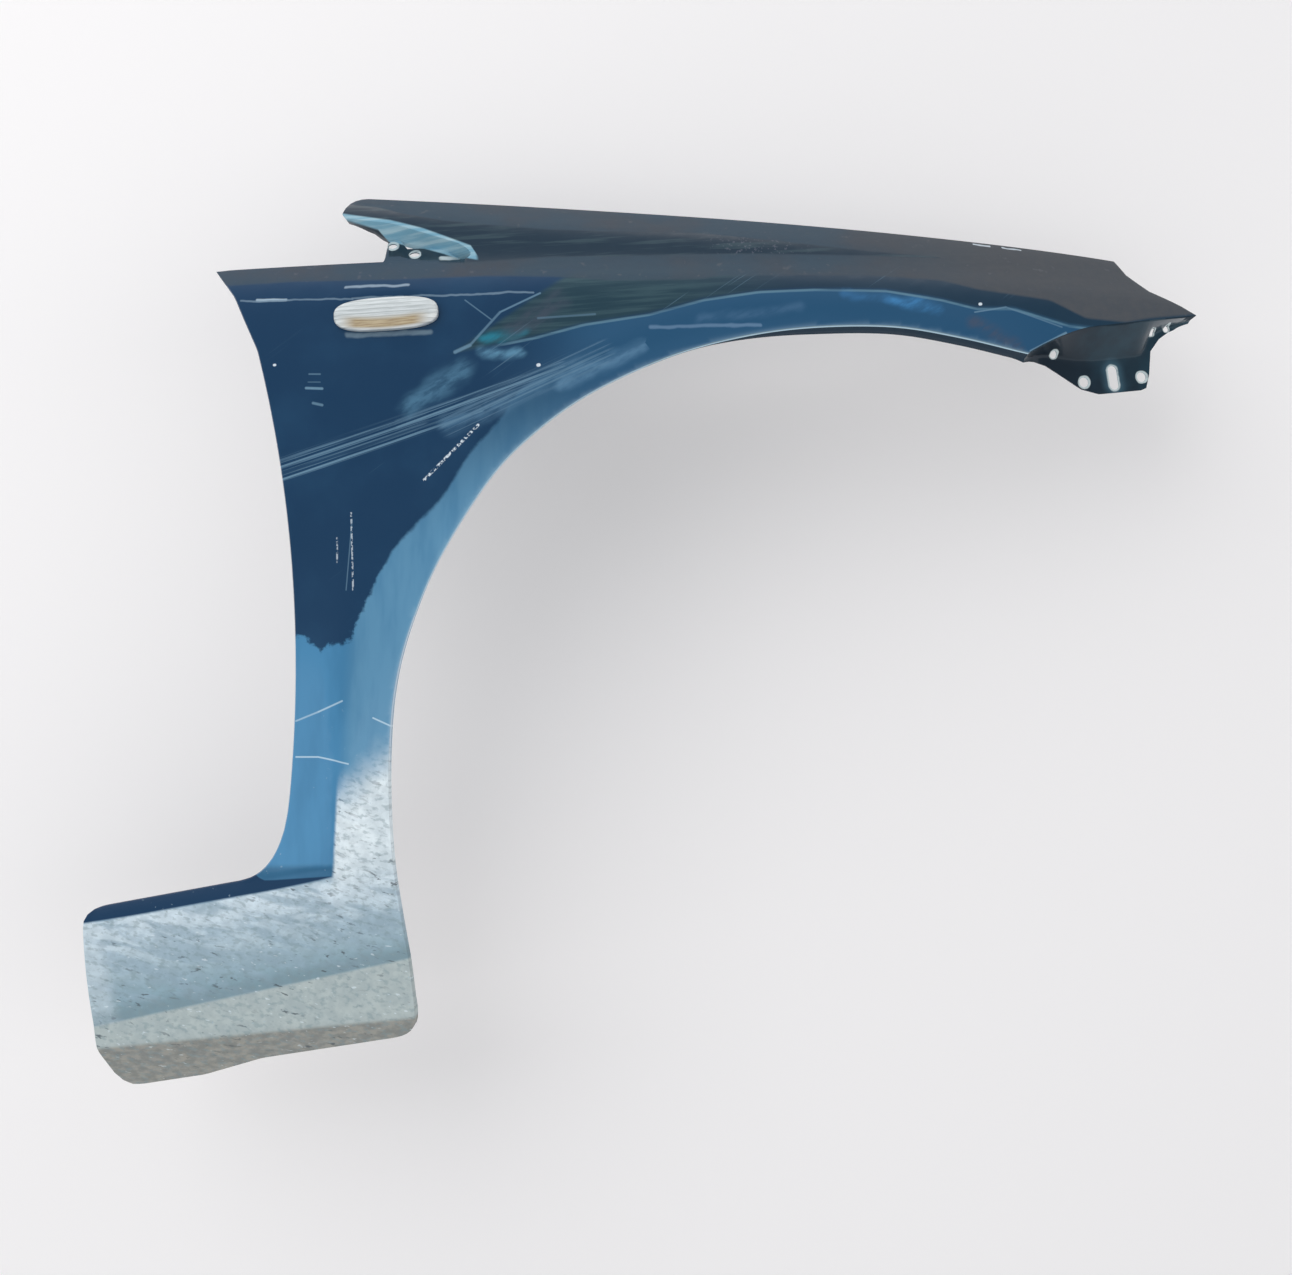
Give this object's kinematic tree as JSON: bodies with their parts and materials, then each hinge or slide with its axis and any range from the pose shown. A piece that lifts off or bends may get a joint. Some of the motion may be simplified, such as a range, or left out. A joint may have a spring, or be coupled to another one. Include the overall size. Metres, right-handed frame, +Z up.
{
  "type": "car fender",
  "caption": "Pressed steel right-hand front fender with wheel arch flare, sill extension, folded bolt flanges and an oval side repeater lamp.",
  "frame": {"origin": "on the underside of the hood rail flange, the face that is bolted down on the inner body rail, about a third of the way back from the nose", "axes": "+X forward along the car, +Y inboard (the painted side faces -Y), +Z up, as the fender sits on the car"},
  "size_m": [1.0037, 0.1512, 0.699],
  "materials": {
    "body_paint": "dark blue metallic clearcoat, scratched, dusty low down",
    "lens_plastic": "clear moulded lens",
    "foam_rubber": "closed-cell foam and seal rubber",
    "reflector_plastic": "silvered moulding",
    "black_plastic": "moulded nylon",
    "amber_glass": "amber bulb glass",
    "spring_steel": "bright spring strip",
    "terminal_brass": "stamped brass"
  },
  "bodies": {
    "root": {"fender_panel": "body_paint", "repeater_lens": "lens_plastic", "repeater_gasket": "foam_rubber", "repeater_housing": "reflector_plastic", "repeater_bulb_holder": "black_plastic", "repeater_holder_seal": "foam_rubber", "repeater_bulb": "amber_glass", "repeater_terminal_1": "terminal_brass", "repeater_terminal_2": "terminal_brass", "repeater_spring_clip": "spring_steel"}
  },
  "joints": []
}
